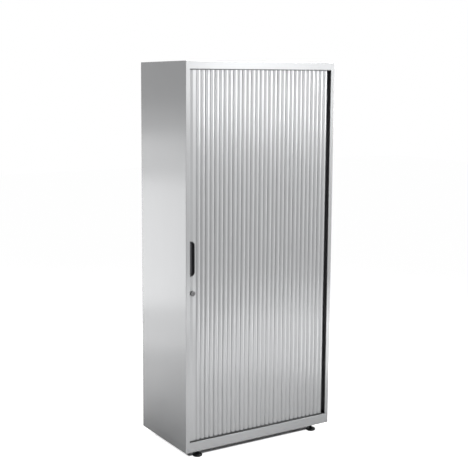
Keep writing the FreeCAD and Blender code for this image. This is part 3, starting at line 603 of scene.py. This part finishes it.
class CABINET_OT_casing(bpy.types.Operator):
    """Finish the casing's folded panels"""
    bl_idname = "cabinet.casing"
    bl_label = "Casing"

    def execute(self, context):
        look = context.scene.cabinet_finishes
        coat = powder_coat("silver_powder_coat_casing", look.casing_colour, look.casing_shade,
                           look.flake, look.sheen)
        dress(OUTER_PANELS, coat)
        # The inside takes a thinner coat, with less flake and a duller film.
        inner = powder_coat("silver_powder_coat_inside", "#A9ABAE", "#A2A4A8",
                            metallic=look.flake * 0.6, roughness=look.sheen + 0.08)
        dress(INNER_PANELS + SHELVES, inner)
        return {"FINISHED"}


class CABINET_OT_curtain(bpy.types.Operator):
    """Finish the curtain's slats and its leading bar"""
    bl_idname = "cabinet.curtain"
    bl_label = "Curtain"

    def execute(self, context):
        look = context.scene.cabinet_finishes
        coat = powder_coat("silver_powder_coat_curtain", look.curtain_colour, look.curtain_shade,
                           look.flake, look.sheen)
        dress(SLATS + ["leading_bar"], coat)
        return {"FINISHED"}


class CABINET_OT_tracks(bpy.types.Operator):
    """Finish the tracks, the glides and the pocket's trim"""
    bl_idname = "cabinet.tracks"
    bl_label = "Tracks"

    def execute(self, context):
        rail = extruded_plastic("black_pvc_extruded", "#131416", "#1E1F22")
        dress(TRACKS + ["pocket_trim"], rail)
        dress(["bar_glides"], moulded_plastic("black_acetal_moulded", "#17181A", "#202124",
                                              roughness=0.4, grain_mm=3))
        return {"FINISHED"}


class CABINET_OT_shade_gap_strip(bpy.types.Operator):
    """Model a black strip along the lower track's lip, a dark sheet that paints the shade of the
    gap between the bottom rail and the curtain
    """
    bl_idname = "cabinet.track_cover"
    bl_label = "Shade gap strip"

    def execute(self, context):
        # The strip is painted shade: a black sheet that darkens the gap between the bottom rail and
        # the curtain.
        height = context.scene.cabinet_fittings.shade_strip_height
        low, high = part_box("lower_front_track")
        # The track stands 3.9 mm above the bottom rail, where the strip's lower edge lies.
        above_rail, thickness, middle_ahead, end_play = 0.0039, 0.0008, 0.00042, 0.002
        deselect()
        middle = ((low[0] + high[0]) / 2, low[1] - middle_ahead, high[2] - above_rail + height / 2)
        bpy.ops.mesh.primitive_cube_add(size=1, location=middle,
                                        scale=(high[0] - low[0] - end_play, thickness, height))
        strip = context.active_object
        bpy.ops.object.transform_apply(location=True, rotation=True, scale=True)
        pick(strip, lambda c, n: n.z > FACING)
        # The upper edge leans back towards the curtain.
        back, up, rounding = 0.0003, 0.0007, 0.00015
        bpy.ops.mesh.extrude_region_move(TRANSFORM_OT_translate={"value": (0, back, up)})
        bpy.ops.object.mode_set(mode="OBJECT")
        bevelled(strip, rounding, segments=2, angle=20)
        settle(strip, "shade_gap_black_strip", "cabinet", bpy.data.materials["black_pvc_extruded"])
        return {"FINISHED"}


class CABINET_OT_inside_fittings(bpy.types.Operator):
    """Finish the uprights, clips, keeper and buffers"""
    bl_idname = "cabinet.inside_fittings"
    bl_label = "Inside fittings"

    def execute(self, context):
        zinc = zinc_plate("bright_zinc_plate", "#B9BDC2", "#A3A8AE", roughness=0.36)
        dress(UPRIGHTS, zinc)
        dress(["shelf_clips", "lock_keeper", "foot_sockets", "lock_nut", "lock_cam"], zinc)
        dress(["door_buffers"], rubber("black_nitrile_rubber", "#191919", "#232323"))
        return {"FINISHED"}


class CABINET_OT_finger_pull(bpy.types.Operator):
    """Model the moulded finger pull in the leading bar"""
    bl_idname = "cabinet.finger_pull"
    bl_label = "Finger pull"

    def execute(self, context):
        fit = context.scene.cabinet_fittings
        look = context.scene.cabinet_finishes
        low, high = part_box("handle_cup")
        width, depth, height = (high[i] - low[i] for i in range(3))
        middle = [(low[i] + high[i]) / 2 for i in range(3)]
        deselect()
        bpy.ops.mesh.primitive_cube_add(size=1, location=middle, scale=(width, depth, height))
        pull = context.active_object
        bpy.ops.object.transform_apply(location=True, rotation=True, scale=True)
        # The two corners away from the leading edge are rounded: their edges run front to back.
        context.tool_settings.mesh_select_mode = (False, True, False)
        unselect(pull)
        for edge in pull.data.edges:
            ends = [pull.data.vertices[i] for i in edge.vertices]
            at_right = min(end.co.x for end in ends) > high[0] - TOUCH
            runs_back = abs(ends[0].co.y - ends[1].co.y) > HAIR
            edge.select = at_right and runs_back
            if edge.select:
                for end in ends:
                    end.select = True
        bpy.ops.object.mode_set(mode="EDIT")
        bpy.ops.mesh.bevel(offset=fit.pull_corner, offset_type="OFFSET", segments=14,
                           affect="EDGES")
        pick(pull, lambda c, n: n.y < -FACING)
        bpy.ops.mesh.inset(thickness=fit.pull_rim)
        bpy.ops.mesh.extrude_region_move(TRANSFORM_OT_translate={"value": (0, fit.pull_shallow, 0)})
        hinge = (low[0] + fit.pull_rim, low[1] + fit.pull_shallow, middle[2])
        lean = math.atan((fit.pull_deep - fit.pull_shallow) / (width - 2 * fit.pull_rim))
        # With no window this operator turns the other way, so the angle is negative.
        bpy.ops.transform.rotate(value=-lean, orient_axis="Z", center_override=hinge)
        # A narrow border round the recess's floor leaves room for the rounding.
        border, rounding = 0.0012, 0.0008
        bpy.ops.mesh.inset(thickness=border)
        bpy.ops.object.mode_set(mode="OBJECT")
        bevelled(pull, rounding, segments=2, angle=25)
        black = moulded_plastic("black_abs_moulded", look.fitting_colour, "#2E2F32",
                                roughness=0.38, grain_mm=2.5)
        settle(pull, "finger_pull_moulding", "door", black, 40)
        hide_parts("handle_cup")
        dress(["handle_cup"], black)
        return {"FINISHED"}


class CABINET_OT_lock(bpy.types.Operator):
    """Finish the cam lock"""
    bl_idname = "cabinet.lock"
    bl_label = "Lock"

    def execute(self, context):
        # The nickel is far darker than bare nickel: painted shade, so the lock's face reflects
        # dimly.
        nickel = nickel_plate("satin_nickel_painted_dark", "#6C6C6D", "#5A5A5B")
        dress(["lock_housing", "lock_plug"], nickel)
        return {"FINISHED"}


class CABINET_OT_feet(bpy.types.Operator):
    """Finish the levelling feet"""
    bl_idname = "cabinet.feet"
    bl_label = "Feet"

    def execute(self, context):
        dress(PADS, moulded_plastic("black_nylon_moulded", "#121314", "#1C1D1F", roughness=0.46,
                                    grain_mm=3.5))
        dress(STEMS, zinc_plate("black_zinc_plate", "#2A2B2D", "#1B1C1E", roughness=0.42))
        return {"FINISHED"}


class CABINET_OT_back_screws(bpy.types.Operator):
    """Fix the back panel with a row of screws up each side and along the top"""
    bl_idname = "cabinet.back_screws"
    bl_label = "Back screws"

    def execute(self, context):
        fit = context.scene.cabinet_fittings
        low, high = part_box("back_panel")
        zinc = bpy.data.materials["bright_zinc_plate"]
        # How far in from the panel's edges the screws sit, and how far up the lowest pair.
        inset, base_inset = 0.011, 0.045
        x_left, x_right = low[0] + inset, high[0] - inset
        z_low, z_high = low[2] + base_inset, high[2] - inset
        spots = []
        for k in range(fit.back_screws):
            z = z_low + (z_high - z_low) * k / (fit.back_screws - 1)
            spots += [(x_left, z), (x_right, z)]
        # Three more along the top, a quarter of the width apart.
        for k in range(1, 4):
            spots.append((x_left + (x_right - x_left) * k / 4, z_high))
        seats = [((x, high[1], z), (0, 1, 0)) for x, z in spots]
        set_out(pan_head_screw(fit.screw_radius), seats, "back_screw", "cabinet", zinc)
        return {"FINISHED"}


class CABINET_PT_panel(bpy.types.Panel):
    """Lists the cabinet's pieces and settings"""
    bl_idname = "CABINET_PT_panel"
    bl_label = "Cabinet"
    bl_space_type = "VIEW_3D"
    bl_region_type = "UI"
    bl_category = "Cabinet"

    def draw(self, context):
        layout = self.layout
        for group in ("cabinet_finishes", "cabinet_fittings", "cabinet_studio"):
            settings = getattr(context.scene, group)
            box = layout.box()
            for name in settings.__annotations__:
                box.prop(settings, name)
        for operator in OPERATORS:
            layout.operator(operator.bl_idname)


OPERATORS = [
    CABINET_OT_stage,
    CABINET_OT_casing,
    CABINET_OT_curtain,
    CABINET_OT_tracks,
    CABINET_OT_shade_gap_strip,
    CABINET_OT_inside_fittings,
    CABINET_OT_finger_pull,
    CABINET_OT_lock,
    CABINET_OT_feet,
    CABINET_OT_back_screws,
]
GROUPS = {
    "cabinet_finishes": CabinetFinishes,
    "cabinet_fittings": CabinetFittings,
    "cabinet_studio": CabinetStudio,
}


def register():
    """Registers the settings, the operators and the panel."""
    for name, group in GROUPS.items():
        bpy.utils.register_class(group)
        setattr(bpy.types.Scene, name, bpy.props.PointerProperty(type=group))
    for operator in OPERATORS:
        bpy.utils.register_class(operator)
    bpy.utils.register_class(CABINET_PT_panel)


def unregister():
    """Takes them away again."""
    bpy.utils.unregister_class(CABINET_PT_panel)
    for operator in reversed(OPERATORS):
        bpy.utils.unregister_class(operator)
    for name, group in GROUPS.items():
        delattr(bpy.types.Scene, name)
        bpy.utils.unregister_class(group)


def main():
    """Builds the dressed cabinet."""
    register()
    bpy.ops.cabinet.stage()
    bpy.ops.cabinet.casing()
    bpy.ops.cabinet.curtain()
    bpy.ops.cabinet.tracks()
    # The black strip on the lower track is painted shade for the gap above the bottom rail.
    bpy.ops.cabinet.track_cover()
    bpy.ops.cabinet.inside_fittings()
    bpy.ops.cabinet.finger_pull()
    bpy.ops.cabinet.lock()
    bpy.ops.cabinet.feet()
    bpy.ops.cabinet.back_screws()
    deselect()


if __name__ == "__main__":
    main()
